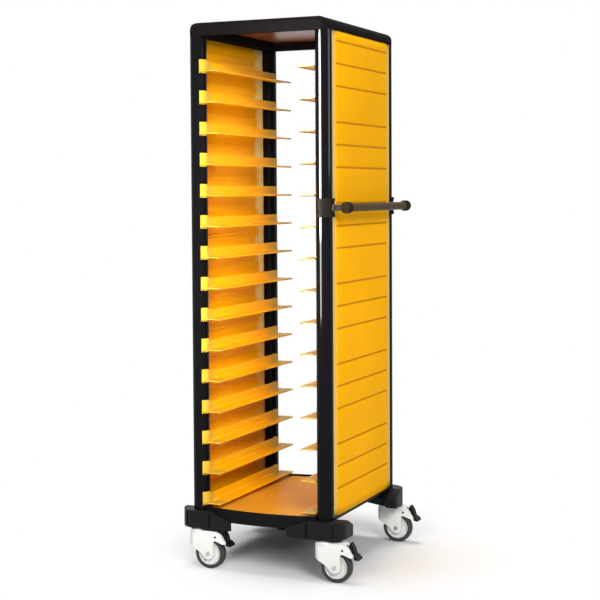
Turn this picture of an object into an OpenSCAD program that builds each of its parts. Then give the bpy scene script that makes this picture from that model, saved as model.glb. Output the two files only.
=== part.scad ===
// Tray cart: four posts, a roof, a base and two side walls carry pairs of tray rails.
// +X is the handle side, -Y is the open front, +Z is up, and Z = 0 is the ground.

/* [Cart] */
// Distance between the post axes across the cart
post_span_x = 460; // [420:5:520]
// Distance between the post axes from front to back
post_span_y = 563; // [500:1:640]
// Outside diameter of a post
post_d = 56; // [48:1:64]
// Wall of a post
post_wall = 3; // [2:0.5:4]
// Height of the side walls
wall_h = 1602.5; // [1400:0.5:1700]
// How far the side panels' faces lie inside the posts' outer faces
skin_in = 0.6; // [0:0.1:3]
// Distance from a post's axis to the end of a side wall
wall_gap = 15.5; // [14:0.5:18]

/* [Roof] */
// Height of the roof rim
roof_h = 44; // [38:1:60]
// Radius of the roof's edges along the sides
roof_side_r = 40; // [20:1:44]
// Radius of the roof's edges along the front and the back
roof_end_r = 12; // [4:1:24]
// Depth of the recess under the roof, down to the ceiling panel
ceiling_depth = 30; // [16:1:32]
// Thickness of the ceiling panel
ceiling_t = 3; // [2:0.5:5]
// Width of the roof rim inside the posts' outer faces
roof_rim = 51; // [40:1:60]
// Length of the roof rim at the front and the back
roof_rim_end = 24.5; // [16:0.5:36]
// Corner radius of the recess under the roof
recess_r = 12; // [6:1:24]
// Length of the plugs that the roof and the corner bumpers push into the posts
plug_h = 30; // [15:1:60]
// Gap around a plug
plug_gap = 0.2; // [0.1:0.05:0.5]

/* [Base] */
// Height of the base's front and back aprons
apron_h = 44; // [36:1:60]
// Thickness of an apron
apron_t = 8; // [5:1:12]
// How far the aprons bow out at the middle
apron_bow = 27; // [10:1:40]
// How far the aprons' ends lie inside the posts' outer faces
bow_in = 6; // [2:1:12]
// How far the aprons lap the posts' inner sides
apron_lap = 2.8; // [1:0.1:6]
// Height of the apron's lip above the deck panel
lip_h = 7; // [4:1:12]
// Thickness of the base plate
plate_t = 5; // [4:0.5:8]
// Thickness of the deck panel
deck_t = 3; // [2:0.5:5]
// Height of the base's side sills
sill_h = 10.5; // [8:0.5:16]
// Width of the base's side sills
sill_w = 15; // [10:1:24]
// Thickness of the ribs under the base plate
base_rib_t = 5; // [3:0.5:8]

/* [Side walls] */
// Thickness of a side panel's sheet
skin_t = 2.5; // [2:0.1:4]
// Height by which the raised fields stand out
field_h = 3.5; // [2:0.5:6]
// Width of the raised fields' slanted ends
field_bevel = 18; // [6:1:26]
// Width of the flat border beside the raised fields
field_border = 20; // [12:1:40]
// Width of a groove between two raised fields
groove_w = 11; // [6:1:16]
// Depth of a groove between two raised fields
groove_h = 2.2; // [1:0.2:3]
// Height of the first field at the top
field_top = 32; // [20:1:50]
// Distance between the close grooves
groove_step = 74.2; // [60:0.2:85]
// Distance between the groups of three grooves
group_step = 266.5; // [240:0.5:280]
// Wall of the channels inside the posts
channel_t = 3; // [2:0.5:5]
// Depth of the posts' grooves
tongue_depth = 6; // [4:0.5:8]
// Gap in the posts' grooves
tongue_gap = 0.2; // [0.1:0.1:0.5]
// Thickness of an inner lining
lining_t = 2.6; // [2:0.1:4]
// How far the ends of a lining are coved inward
cove_in = 4.8; // [2:0.2:8]
// Width of the cove
cove_w = 50; // [30:1:80]
// Width of the flat strip between the cove and the end of a lining
cove_end = 16; // [8:1:24]
// Height of the lines pressed into a lining
line_h = 1.2; // [0.6:0.2:2]
// Width of the lines pressed into a lining
line_w = 6; // [4:1:12]
// Height of a pressed line above the ledge below it
line_up = 61; // [40:1:64]

/* [Tray rails] */
// Number of rail pairs
rail_count = 15; // [8:1:15]
// Room between the highest ledge and the roof
top_room = 116; // [90:1:150]
// Height of the lowest ledge above the deck panel
first_ledge = 19; // [12:1:40]
// Clear width between two facing ledges
ledge_clear = 299; // [260:1:340]
// How far a ledge reaches past the posts' axes
ledge_over = 22.5; // [10:0.5:26]
// Thickness of a rail
rail_t = 3; // [2:0.5:4]
// Height of the rounded lip along a ledge's free edge
ledge_lip = 6; // [4:0.5:9]
// Radius of the lip's rounded edges
lip_r = 2; // [1.6:0.1:2.2]
// Radius of the fillet between a ledge and its back flange
rail_fillet = 6; // [3:0.5:9]
// Height of a rail's back flange
flange_h = 30; // [20:1:40]
// How far the hook round a post reaches above the ledge
hook_up = 37; // [30:1:44]
// How far the hook round a post reaches below the ledge
hook_low = 9; // [4:1:9]
// Width of the notches in the hook's lower edge
notch_w = 3.5; // [2:0.5:5]
// Height of the notches in the hook's lower edge
notch_h = 6; // [3:0.5:8]

/* [Handle] */
// Height of the handle above the ground
handle_z = 1231; // [900:1:1400]
// Outside diameter of the handle bar
handle_d = 28; // [22:1:34]
// Wall of the handle bar
handle_wall = 2; // [1.5:0.5:4]
// Distance from the posts' axes out to the handle bar
handle_out = 80; // [66:1:110]
// Height of a bracket's collar
collar_h = 62; // [40:1:80]
// Wall of a bracket's collar
collar_t = 5.5; // [4:0.5:8]
// Height of the beads round the collar's two ends
bead_h = 10; // [6:1:14]
// How far the beads stand out
bead_t = 2; // [1:0.5:3]
// Diameter of a bracket's knuckle
knuckle_d = 38; // [34:1:48]
// Length of a bracket's knuckle
knuckle_len = 22; // [16:1:34]
// Height of a bracket's arm
arm_h = 20; // [12:1:30]
// Thickness of the end caps on the handle
cap_t = 3; // [2:0.5:5]
// Depth of the end caps' plugs
cap_plug = 10; // [6:1:16]
// Diameter of the screws that clamp a bracket
screw_d = 5; // [4:0.5:6]
// Length of a screw in its bracket
screw_len = 6; // [4:1:10]
// Distance of the screws from the post's surface
screw_in = 9; // [8:0.5:12]
// Distance from the arm's middle to a screw
screw_step = 5; // [4.5:0.5:6]

/* [Corner bumpers] */
// How far the bumpers stand out past the posts at the sides
bumper_side = 42; // [30:1:60]
// How far the bumpers stand out past the posts at the ends
bumper_end = 18.5; // [10:0.5:30]
// Height of a bumper's corner
bumper_h = 60; // [44:1:80]
// Height of the base's underside above a bumper's underside
foot_h = 28; // [20:1:36]
// Height of a bumper at the tips of its two wings
wing_h = 32; // [29:1:44]
// Length of a wing along the front, from the post's axis
wing_x_len = 129; // [100:1:160]
// Length of a wing along the side, from the post's axis
wing_y_len = 76.5; // [50:0.5:110]
// Thickness of a wing
wing_t = 40; // [24:1:50]
// Corner radius of a bumper
bumper_r = 62; // [40:1:72]
// Radius of a wing's tip
wing_r = 10; // [6:1:14]
// How far a wing's top slopes down along the front
slope_x = 80; // [50:1:110]
// How far a wing's top slopes down along the side
slope_y = 55; // [40:1:70]
// Width of the upright slots in a bumper's face
slot_w = 10; // [6:1:16]
// Depth of the upright slots in a bumper's face
slot_h = 6; // [3:1:10]
// Height left whole below and above a slot
slot_rim = 7; // [4:1:12]

/* [Casters] */
// Wheel diameter
wheel_d = 106; // [95:1:125]
// Tyre width
tyre_w = 32; // [24:1:36]
// Tyre thickness
tyre_t = 12; // [8:1:16]
// Distance from the swivel axis back to the axle
trail = 42.5; // [34:0.5:48]
// Distance from the posts' axes out to the swivel axes, across the cart
caster_side = 3; // [0:1:12]
// Distance from the posts' axes out to the swivel axes, along the cart
caster_end = 13.5; // [6:0.5:16]
// Diameter of the stem that goes up into a bumper
stem_d = 16; // [12:1:20]
// Length of the stem in the bumper
stem_h = 40; // [26:1:50]
// Outside width of a fork
fork_w = 48; // [44:1:56]
// Thickness of a fork's cheek
cheek_t = 5.5; // [4:0.5:7]
// Gap between the wheel and the fork's crown
wheel_gap = 5; // [3:0.5:8]
// Height of a fork's crown above the wheel
crown_h = 26; // [24:1:34]
// Gap between a fork and the bumper above it
swivel_gap = 8; // [6:1:14]
// Length of a fork's nose in front of the swivel axis
nose_len = 34; // [30:1:40]
// Reach of a fork's fender past the axle
fender_len = 64; // [56:1:72]
// Height of a fork's fender at its tip
fender_h = 43; // [38:1:48]
// Radius of the boss round the axle
boss_r = 19; // [14:1:24]
// Axle diameter
axle_d = 8; // [6:0.5:12]
// Kingpin diameter
kingpin_d = 14; // [10:1:18]
// Radial running clearance of the axle, kingpin and pedal pins
run_gap = 0.05; // [0.02:0.01:0.1]
// Side clearance of the moving pieces
side_gap = 0.4; // [0.3:0.1:1]
// Distance from the axle out to the brake pedal's pin
pin_out = 27; // [22:1:32]
// Depth of the brake pedal's pin below the fork's top
pin_drop = 20; // [19:0.5:22]
// Diameter of the brake pedal's pin
pin_d = 8; // [6:0.5:9]
// Width of a brake pedal's lever
pedal_w = 23; // [16:1:26]
// Width of a brake pedal's tread
tread_w = 40; // [26:1:44]
// Reach of a brake pedal past its pin
pedal_len = 55; // [50:1:60]

/* [Hidden] */
$fn = 96;
eps = 0.01;
arc_steps = 12;
post_x = post_span_x / 2;
post_y = post_span_y / 2;
post_r = post_d / 2;
out_x = post_x + post_r;
out_y = post_y + post_r;
skin_x = out_x - skin_in;
border_x = skin_x - field_h;
lining_x = border_x - skin_t - lining_t;
rail_x = post_x - post_r;
wall_end = post_y - wall_gap;
fork_top = wheel_d + crown_h;
bumper_z = fork_top + swivel_gap;
post_z = bumper_z + bumper_h;
base_z = bumper_z + foot_h;
lip_z = base_z + apron_h;
deck_z = lip_z - lip_h;
plate_z = deck_z - deck_t - plate_t;
wall_z = plate_z + sill_h;
roof_z = wall_z + wall_h;
ceiling_z = roof_z + ceiling_depth;
ledge_x = ledge_clear / 2;
rail_pitch = (roof_z - top_room - deck_z - first_ledge) / (rail_count - 1);
bumper_x = out_x + bumper_side;
bumper_y = out_y + bumper_end;
wing_x = post_x - wing_x_len;
wing_y = post_y - wing_y_len;
caster_x = post_x + caster_side;
caster_y = post_y + caster_end;
axle_z = wheel_d / 2;
handle_x = post_x + handle_out;
// The trailing brake pedals reach further out on the handle side than the bumpers do
pedal_reach = trail + pin_out + pedal_len;
footprint_shift = -(caster_x + pedal_reach - bumper_x) / 2;
CORNERS = [["front_left", -1, -1], ["front_right", 1, -1], ["rear_left", -1, 1], ["rear_right", 1, 1]];
SIDES = [["left", -1], ["right", 1]];
ENDS = [["front", -1], ["rear", 1]];
CASTER_PIECES = ["stem", "fork", "axle", "wheel_hub", "tyre", "brake_pedal"];
function level_name(k) = str("rail_pair_", k < 10 ? "0" : "", k);

// Points of an arc about [cx, cy] from angle a to angle b
function arc(cx, cy, r, a, b, n = arc_steps) =
    [for (i = [0 : n]) [cx + r * cos(a + (b - a) * i / n), cy + r * sin(a + (b - a) * i / n)]];

// The same points for the other end of an outline, in reverse
function flip(p) = [for (i = [len(p) - 1 : -1 : 0]) [p[i][0], -p[i][1]]];

// Puts a piece that is drawn about the cart's middle into the frame of its footprint
module on_cart() {
    translate([footprint_shift, 0, 0]) children();
}

// Draws a piece of the rear right quarter in the quarter of corner c
module at_corner(c) {
    on_cart() mirror([c[1] < 0 ? 1 : 0, 0, 0]) mirror([0, c[2] < 0 ? 1 : 0, 0]) children();
}

module on_side(s) {
    on_cart() mirror([s[1] < 0 ? 1 : 0, 0, 0]) children();
}

// Extrudes an outline drawn in X and Z, centred on Y
module across_y(w) {
    rotate([90, 0, 0]) linear_extrude(w, center = true) children();
}

// Extrudes an outline drawn in Y and Z, centred on X
module across_x(w) {
    rotate([90, 0, 90]) linear_extrude(w, center = true) children();
}

module round_rect(x, y, r) {
    polygon(concat(arc(x - r, y - r, r, 0, 90), arc(r - x, y - r, r, 90, 180),
        arc(r - x, r - y, r, 180, 270), arc(x - r, r - y, r, 270, 360)));
}

module post_cylinders(z, h) {
    for (x = [-post_x, post_x], y = [-post_y, post_y])
        translate([x, y, z]) cylinder(r = post_r, h = h);
}

// ---- Posts ----

// Place of the groove for a side panel's edge, and of the post's surface there
tongue_x = border_x - skin_t / 2 - post_x;
tongue_root = sqrt(post_r * post_r - tongue_x * tongue_x);

// Block inside a post that holds the groove
module post_channel(grow = 0) {
    w = skin_t / 2 + tongue_gap + channel_t + grow;
    intersection() {
        circle(r = post_r - post_wall / 2);
        translate([tongue_x - w, -post_r])
            square([2 * w, post_r - tongue_root + tongue_depth + tongue_gap + channel_t + grow]);
    }
}

module post_section() {
    groove_open = skin_t + 2 * tongue_gap;
    difference() {
        union() {
            difference() {
                circle(r = post_r);
                circle(r = post_r - post_wall);
            }
            post_channel();
        }
        translate([tongue_x - groove_open / 2, -post_r])
            square([groove_open, post_r - tongue_root + tongue_depth + tongue_gap]);
    }
}

module post(c) {
    color([0.10, 0.10, 0.11]) at_corner(c) translate([post_x, post_y, post_z])
        linear_extrude(roof_z - post_z) post_section();
}

// Plug that fills a post's hollow, drawn at the post's axis
module post_plug() {
    linear_extrude(plug_h) difference() {
        circle(r = post_r - post_wall - plug_gap);
        post_channel(plug_gap);
    }
}

// ---- Roof ----

module arch(half_w, h, r) {
    polygon(concat([[-half_w, 0], [half_w, 0]], arc(half_w - r, h - r, r, 0, 90),
        arc(r - half_w, h - r, r, 90, 180)));
}

module roof_cap() {
    recess_x = out_x - roof_rim;
    recess_y = out_y - roof_rim_end;
    color([0.11, 0.11, 0.12]) on_cart() {
        translate([0, 0, roof_z]) difference() {
            intersection() {
                linear_extrude(roof_h) round_rect(out_x, out_y, post_r);
                across_y(2 * out_y + 2) arch(out_x, roof_h, roof_side_r);
                across_x(2 * out_x + 2) arch(out_y, roof_h, roof_end_r);
            }
            translate([0, 0, -1]) linear_extrude(ceiling_depth + ceiling_t + 1)
                round_rect(recess_x, recess_y, recess_r);
        }
        for (c = CORNERS)
            mirror([c[1] < 0 ? 1 : 0, 0, 0]) mirror([0, c[2] < 0 ? 1 : 0, 0])
                translate([post_x, post_y, roof_z - plug_h]) post_plug();
    }
}

module ceiling_panel() {
    color([0.93, 0.62, 0.10]) on_cart() translate([0, 0, ceiling_z]) linear_extrude(ceiling_t)
        round_rect(out_x - roof_rim, out_y - roof_rim_end, recess_r);
}

// ---- Base ----

apron_x = rail_x + apron_lap;
bow_chord = out_y - bow_in;
bow_r = (apron_x * apron_x + apron_bow * apron_bow) / (2 * apron_bow);

// Outline between the two bowed ends, drawn in by t
module bowed(t) {
    cy = bow_chord + apron_bow - bow_r;
    a = asin((apron_x - t) / (bow_r - t));
    end = arc(0, cy, bow_r - t, 90 - a, 90 + a, 2 * arc_steps);
    polygon(concat(end, flip(end)));
}

module base_ribs() {
    rib_x = apron_x / 3;
    rib_y = bow_chord / 3;
    for (x = [-rib_x, rib_x])
        translate([x - base_rib_t / 2, -bow_chord, 0]) square([base_rib_t, 2 * bow_chord]);
    for (y = [-rib_y, rib_y])
        translate([-apron_x, y - base_rib_t / 2]) square([2 * apron_x, base_rib_t]);
    for (x = [-apron_x, apron_x - base_rib_t])
        translate([x, -bow_chord]) square([base_rib_t, 2 * bow_chord]);
}

module base_frame() {
    color([0.09, 0.09, 0.10]) on_cart() difference() {
        union() {
            translate([0, 0, base_z]) linear_extrude(apron_h) difference() {
                bowed(0);
                bowed(apron_t);
                square([2 * out_x, 2 * wall_end], center = true);
            }
            translate([0, 0, base_z]) linear_extrude(plate_z - base_z + eps) intersection() {
                bowed(base_rib_t / 2);
                base_ribs();
            }
            translate([0, 0, plate_z]) linear_extrude(plate_t) union() {
                bowed(apron_t / 2);
                square([2 * skin_x, 2 * wall_end], center = true);
            }
            for (s = [-1, 1])
                translate([s * (skin_x - sill_w / 2), 0, plate_z + sill_h / 2])
                    cube([sill_w, 2 * wall_end, sill_h], center = true);
        }
        post_cylinders(base_z - 1, apron_h + 2);
    }
}

module deck_panel() {
    color([0.84, 0.50, 0.16]) on_cart() difference() {
        translate([0, 0, plate_z + plate_t]) linear_extrude(deck_t) union() {
            bowed(apron_t);
            square([2 * (skin_x - sill_w), 2 * wall_end], center = true);
        }
        post_cylinders(plate_z, plate_t + deck_t + 1);
    }
}

// ---- Side walls ----

// Groove centres, in groups of three, down from the top of the wall
GROOVES = [for (g = [0 : 6], m = [0 : 2])
    let (z = roof_z - field_top - g * group_step - m * groove_step)
    if (z > wall_z + field_top / 2) z];

// A side panel seen along Y: flat fields parted by shallow grooves, back to the depth d
module field_profile(d, grow) {
    face = [for (z = GROOVES) each [
        [skin_x, z + groove_w / 2],
        [skin_x - groove_h, z + groove_w / 6],
        [skin_x - groove_h, z - groove_w / 6],
        [skin_x, z - groove_w / 2]]];
    polygon(concat([[skin_x, roof_z + grow]], face, [[skin_x, wall_z - grow], [skin_x - d, wall_z - grow],
        [skin_x - d, roof_z + grow]]));
}

// A side panel from above: raised middle, slanted ends, flat borders
module panel_plan(d, grow) {
    flat = wall_end - field_border;
    side = [[skin_x, flat - field_bevel], [border_x, flat], [border_x, wall_end + grow],
        [skin_x - d, wall_end + grow]];
    polygon(concat(side, flip(side)));
}

// Everything behind a side panel's face, down to the depth d
module panel_solid(d, grow) {
    intersection() {
        translate([0, 0, wall_z - grow]) linear_extrude(wall_h + 2 * grow) panel_plan(d, grow);
        across_y(2 * (wall_end + grow)) field_profile(d, grow);
    }
}

// Pressed sheet of even thickness, with a flat edge that slides into the posts' grooves
module side_panel(s) {
    depth = 2 * (field_h + skin_t);
    root = wall_end - field_border / 2;
    tip = post_y - tongue_root + tongue_depth;
    color([0.98, 0.72, 0.03]) on_side(s) {
        difference() {
            panel_solid(depth, 0);
            translate([-skin_t, 0, 0]) panel_solid(depth, 1);
            post_cylinders(wall_z - 1, wall_h + 2);
        }
        for (y = [-1, 1])
            translate([border_x - skin_t / 2, y * (root + tip) / 2, wall_z + wall_h / 2])
                cube([skin_t, tip - root, wall_h], center = true);
    }
}

// A lining from above: a flat sheet, coved inward towards the posts
module lining_plan() {
    cove_r = (cove_w * cove_w + cove_in * cove_in) / (2 * cove_in);
    a = asin(cove_w / cove_r);
    cy = wall_end - cove_end - cove_w;
    cx = lining_x - cove_r;
    outer = concat(arc(cx, cy, cove_r + lining_t, 0, a), [[lining_x - cove_in + lining_t, wall_end]]);
    inner = concat([[lining_x - cove_in, wall_end]], arc(cx, cy, cove_r, a, 0));
    polygon(concat(outer, inner, flip(inner), flip(outer)));
}

module side_lining(s) {
    color([0.95, 0.62, 0.06]) on_side(s) difference() {
        union() {
            translate([0, 0, wall_z]) linear_extrude(wall_h) lining_plan();
            for (k = [1 : rail_count])
                translate([lining_x - line_h, 0, ledge_z(k) + line_up])
                    across_y(2 * (wall_end - cove_end - cove_w))
                    polygon([[line_h + eps, -line_w / 2], [0, -line_w / 6], [0, line_w / 6],
                        [line_h + eps, line_w / 2]]);
        }
        post_cylinders(wall_z - 1, wall_h + 2);
    }
}

// ---- Tray rails ----

function ledge_z(k) = deck_z + first_ledge + (k - 1) * rail_pitch;

// Ledge seen along Y, with a rounded lip at its free edge
module ledge_profile() {
    polygon(concat(
        arc(ledge_x + lip_r, -lip_r, lip_r, 90, 180, 4),
        arc(ledge_x + lip_r, lip_r - ledge_lip, lip_r, 180, 360, 8),
        [[ledge_x + 2 * lip_r, -rail_t], [rail_x, -rail_t], [rail_x, 0]]));
}

// Back flange seen along Y, with a fillet at its root
module flange_profile() {
    face_x = rail_x - rail_t;
    polygon(concat(
        [[face_x - rail_fillet, -rail_t], [rail_x, -rail_t], [rail_x, flange_h], [face_x, flange_h]],
        arc(face_x - rail_fillet, rail_fillet, rail_fillet, 0, -90, 5)));
}

// Slice of a disc, from angle a to angle b
module sector(r, a, b) {
    intersection() {
        circle(r = r);
        polygon([[0, 0], for (t = [a, (a + b) / 2, b]) 2 * r * [cos(t), sin(t)]]);
    }
}

// Clip round a post's inner side; one with a hook also reaches over the post's end face
module rail_clip(hooked) {
    clip_r = post_r + rail_t;
    hook_from = 122;
    hook_to = 180;
    clip_to = 228;
    shared = 15;
    notches = [8, 20];
    translate([0, 0, -rail_t]) linear_extrude(flange_h + rail_t)
        sector(clip_r, hooked ? hook_to - shared : hook_to, clip_to);
    if (hooked) difference() {
        translate([0, 0, -hook_low]) linear_extrude(hook_low + hook_up) sector(clip_r, hook_from, hook_to);
        for (a = notches)
            rotate([0, 0, hook_from + a]) translate([0, -notch_w / 2, -hook_low - 1])
                cube([2 * post_r, notch_w, notch_h + 1]);
    }
}

// The two rails of a pair are one moulding, turned round: each is hooked at its left end
module rail(k, hooked_end) {
    translate([0, 0, ledge_z(k)]) difference() {
        union() {
            across_y(post_span_y + 2 * ledge_over) ledge_profile();
            across_y(post_span_y) flange_profile();
            for (y = [0, 1])
                mirror([0, y, 0]) translate([post_x, post_y, 0]) rail_clip(y == hooked_end);
        }
        post_cylinders(-hook_low - 1, hook_low + hook_up + 2);
    }
}

module rail_pair(k) {
    color([0.99, 0.74, 0.08]) for (s = SIDES) on_side(s) rail(k, s[1] < 0 ? 1 : 0);
}

// ---- Handle ----

module along_y(len) {
    rotate([90, 0, 0]) translate([0, 0, -len / 2]) children();
}

module handle_bar() {
    len = post_span_y + knuckle_len;
    color([0.20, 0.21, 0.20]) on_cart() translate([handle_x, 0, handle_z]) along_y(len) difference() {
        cylinder(d = handle_d, h = len);
        translate([0, 0, -1]) cylinder(d = handle_d - 2 * handle_wall, h = len + 2);
    }
}

module handle_end_caps() {
    end = (post_span_y + knuckle_len) / 2;
    rim_in = 2;
    color([0.25, 0.26, 0.27]) on_cart() for (y = [0, 1])
        mirror([0, y, 0]) translate([handle_x, end, handle_z]) rotate([-90, 0, 0]) union() {
            cylinder(r = knuckle_d / 2 - rim_in, h = cap_t);
            translate([0, 0, -cap_plug]) cylinder(d = handle_d - 2 * handle_wall, h = cap_plug + eps);
        }
}

// Angles at which a collar starts and ends, about the post's axis
collar_from = -25;
collar_to = 106;

module collar_ring(z, t, h) {
    rotate([0, 0, collar_from]) rotate_extrude(angle = collar_to - collar_from)
        translate([post_r, z - h / 2]) square([t, h]);
}

module at_screws() {
    for (z = [-screw_step, screw_step])
        translate([post_x + post_r + screw_in, post_y + knuckle_len / 2, handle_z + z])
            rotate([-90, 0, 0]) children();
}

// Drawn at the rear right post: a collar round the post's free side, an arm and a knuckle
module handle_bracket(c) {
    bar_len = 2 * knuckle_len;
    color([0.17, 0.17, 0.17]) at_corner(c) difference() {
        translate([post_x, post_y, handle_z]) union() {
            collar_ring(0, collar_t, collar_h);
            for (z = [-1, 1]) collar_ring(z * (collar_h - bead_h) / 2, collar_t + bead_t, bead_h);
            difference() {
                translate([0, -knuckle_len / 2, -arm_h / 2]) cube([handle_out, knuckle_len, arm_h]);
                translate([0, 0, -arm_h]) cylinder(r = post_r, h = 2 * arm_h);
            }
            translate([handle_out, 0, 0]) along_y(knuckle_len) cylinder(d = knuckle_d, h = knuckle_len);
        }
        translate([handle_x, post_y, handle_z]) along_y(bar_len) cylinder(d = handle_d, h = bar_len);
        at_screws() translate([0, 0, -screw_len]) cylinder(d = screw_d, h = screw_len + 1);
    }
}

module handle_bracket_screws() {
    head_d = 1.6 * screw_d;
    head_h = 0.6 * screw_d;
    color([0.55, 0.56, 0.58]) on_cart() for (y = [0, 1])
        mirror([0, y, 0]) at_screws() difference() {
            union() {
                translate([0, 0, -screw_len]) cylinder(d = screw_d, h = screw_len + eps);
                cylinder(d = head_d, h = head_h);
            }
            translate([0, 0, head_h / 2]) cylinder(d = head_d / 2, h = head_h, $fn = 6);
        }
}

// ---- Corner bumpers ----

// Drawn at the rear right corner: two wings that meet in a rounded corner
module bumper_plan() {
    back_x = bumper_x - wing_t;
    back_y = bumper_y - wing_t;
    polygon(concat(
        arc(wing_x + wing_r, bumper_y - wing_r, wing_r, 180, 90),
        arc(bumper_x - bumper_r, bumper_y - bumper_r, bumper_r, 90, 0),
        arc(bumper_x - wing_r, wing_y + wing_r, wing_r, 0, -90),
        [[back_x, wing_y], [back_x - slot_w, wing_y + wing_t / 2], [rail_x, wall_end - wing_t / 2],
         [wing_x + wing_t / 2, back_y]]));
}

// Height of a bumper along one axis: from the wing's tip up to the corner
module bumper_slope(tip, far, rise) {
    polygon([[tip - 1, 0], [far, 0], [far, bumper_h], [tip + rise, bumper_h], [tip, wing_h],
        [tip - 1, wing_h]]);
}

module bumper_slot(len) {
    translate([len - slot_h, -slot_w / 2, bumper_z + slot_rim])
        cube([slot_h + 1, slot_w, bumper_h - 2 * slot_rim]);
}

module bumper(c) {
    corner_slot = 60;
    color([0.12, 0.12, 0.13]) at_corner(c) {
        difference() {
            union() {
                difference() {
                    translate([0, 0, bumper_z]) intersection() {
                        linear_extrude(bumper_h) bumper_plan();
                        across_y(4 * bumper_y) bumper_slope(wing_x, bumper_x + 1, slope_x);
                        across_x(4 * bumper_x) bumper_slope(wing_y, bumper_y + 1, slope_y);
                    }
                    translate([0, 0, base_z]) linear_extrude(bumper_h) union() {
                        bowed(0);
                        square([2 * skin_x, 2 * wall_end], center = true);
                    }
                }
                translate([post_x, post_y, base_z]) cylinder(r = post_r, h = post_z - base_z);
            }
            translate([post_x - wing_t - slot_w, 0, 0]) rotate([0, 0, 90]) bumper_slot(bumper_y);
            translate([bumper_x - bumper_r, bumper_y - bumper_r, 0])
                rotate([0, 0, corner_slot]) bumper_slot(bumper_r);
            translate([caster_x, caster_y, bumper_z - 1]) cylinder(d = stem_d, h = stem_h + 1);
        }
        translate([post_x, post_y, post_z - eps]) post_plug();
    }
}

// ---- Casters, drawn about the swivel axis and trailing to +X ----

flange_t = 5;
flange_d = 46;
race_d = 58;
race_h = 6;
nut_t = 5;
nut_d = 21;
nut_room = 26;
// Underside of the kingpin's head plate, inside the fork
head_z = fork_top - 24;
tail_x = trail + fender_len;
pin_x = trail + pin_out;
pin_z = fork_top - pin_drop;

module at_caster(c) {
    on_cart() translate([c[1] * caster_x, c[2] * caster_y, 0]) children();
}

module caster_stem(c) {
    nut_z = head_z - nut_t - side_gap;
    color([0.82, 0.83, 0.80]) at_caster(c) {
        translate([0, 0, bumper_z]) cylinder(d = stem_d, h = stem_h);
        translate([0, 0, bumper_z - flange_t]) cylinder(d = flange_d, h = flange_t);
        translate([0, 0, nut_z]) cylinder(d = kingpin_d, h = bumper_z - nut_z);
        translate([0, 0, nut_z]) cylinder(d = nut_d, h = nut_t, $fn = 6);
    }
}

// Fork seen along Y: nose, flat crown, fender with a drooping tip, the boss round the axle,
// and the slanted front edge of the cheeks, whose points stand above the axle
module fork_profile() {
    nose_r = 18;
    fender_r = 40;
    fender_in = 6;
    tip_r = 5;
    root_r = 8;
    root_rise = 10;
    front = [[8, 6], [-12, 17], [6 - nose_len, 27], [-nose_len, 34]];
    tip_z = fork_top - fender_h;
    root_x = trail + boss_r + root_r;
    root_z = tip_z + root_rise;
    polygon(concat(
        arc(nose_r - nose_len, fork_top - nose_r, nose_r, 180, 90),
        arc(tail_x - fender_r - fender_in, fork_top - fender_r, fender_r, 90, 20),
        arc(tail_x - tip_r, tip_z + tip_r, tip_r, 20, -110),
        arc(root_x, root_z - root_r, root_r, 70, 180),
        arc(trail, axle_z, boss_r, 8, -150),
        [for (p = front) [p[0], axle_z + p[1]]]));
}

module fork_plan() {
    nose_r = fork_w / 2;
    tail_r = 14;
    polygon(concat(
        arc(nose_r - nose_len, 0, nose_r, 90, 270),
        arc(tail_x - tail_r, tail_r - fork_w / 2, tail_r, 270, 360),
        arc(tail_x - tail_r, fork_w / 2 - tail_r, tail_r, 0, 90)));
}

module fork(c) {
    slot = pedal_w + 2 * side_gap;
    inner_w = fork_w - 2 * cheek_t;
    roof_t = 8;
    color([0.93, 0.93, 0.89]) at_caster(c) difference() {
        union() {
            intersection() {
                across_y(fork_w + 2) fork_profile();
                linear_extrude(fork_top + 1) fork_plan();
            }
            translate([0, 0, fork_top - race_h])
                cylinder(d = race_d, h = race_h + swivel_gap - flange_t - side_gap);
        }
        translate([trail, 0, axle_z]) along_y(inner_w) cylinder(d = wheel_d + 2 * wheel_gap, h = inner_w);
        translate([trail, 0, axle_z]) along_y(2 * fork_w) cylinder(d = axle_d, h = 2 * fork_w);
        cylinder(d = kingpin_d + 2 * run_gap, h = fork_top + swivel_gap);
        cylinder(d = nut_room, h = head_z);
        translate([pin_x - 1.5 * pin_d, -slot / 2, axle_z])
            cube([fender_len, slot, fork_top - roof_t - axle_z]);
        translate([pin_x + pin_d, -slot / 2, axle_z]) cube([fender_len, slot, fork_top]);
        translate([pin_x, 0, pin_z]) along_y(2 * fork_w) cylinder(d = pin_d + 2 * run_gap, h = 2 * fork_w);
    }
}

module axle(c) {
    head_t = 4;
    head_d = 14;
    color([0.62, 0.63, 0.64]) at_caster(c) translate([trail, 0, axle_z]) {
        along_y(fork_w) cylinder(d = axle_d, h = fork_w);
        translate([0, -(fork_w + head_t) / 2, 0]) along_y(head_t) cylinder(d = head_d, h = head_t);
        translate([0, (fork_w + head_t) / 2, 0]) along_y(head_t) cylinder(d = head_d, h = head_t, $fn = 6);
    }
}

// Hub: a boss round the axle, a thin web with a raised ring, and the rim
module wheel_hub(c) {
    rim_r = wheel_d / 2 - tyre_t;
    rim_t = 3;
    rim = tyre_w / 2 - 1;
    boss = fork_w / 2 - cheek_t - side_gap;
    boss_wall = 8;
    bore_r = axle_d / 2 + run_gap;
    web = 6;
    ring_r = 25;
    ring_w = 4;
    ring_h = 3;
    ring_in = ring_r - ring_w / 2;
    ring_out = ring_r + ring_w / 2;
    half = [[bore_r, boss], [bore_r + boss_wall, boss], [bore_r + boss_wall + 2, web],
        [ring_in - 1, web], [ring_in, web + ring_h], [ring_out, web + ring_h], [ring_out + 1, web],
        [rim_r - rim_t - 1, web], [rim_r - rim_t, rim], [rim_r, rim]];
    color([0.94, 0.94, 0.92]) at_caster(c) translate([trail, 0, axle_z]) rotate([90, 0, 0])
        rotate_extrude() polygon(concat(half, flip(half)));
}

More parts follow.
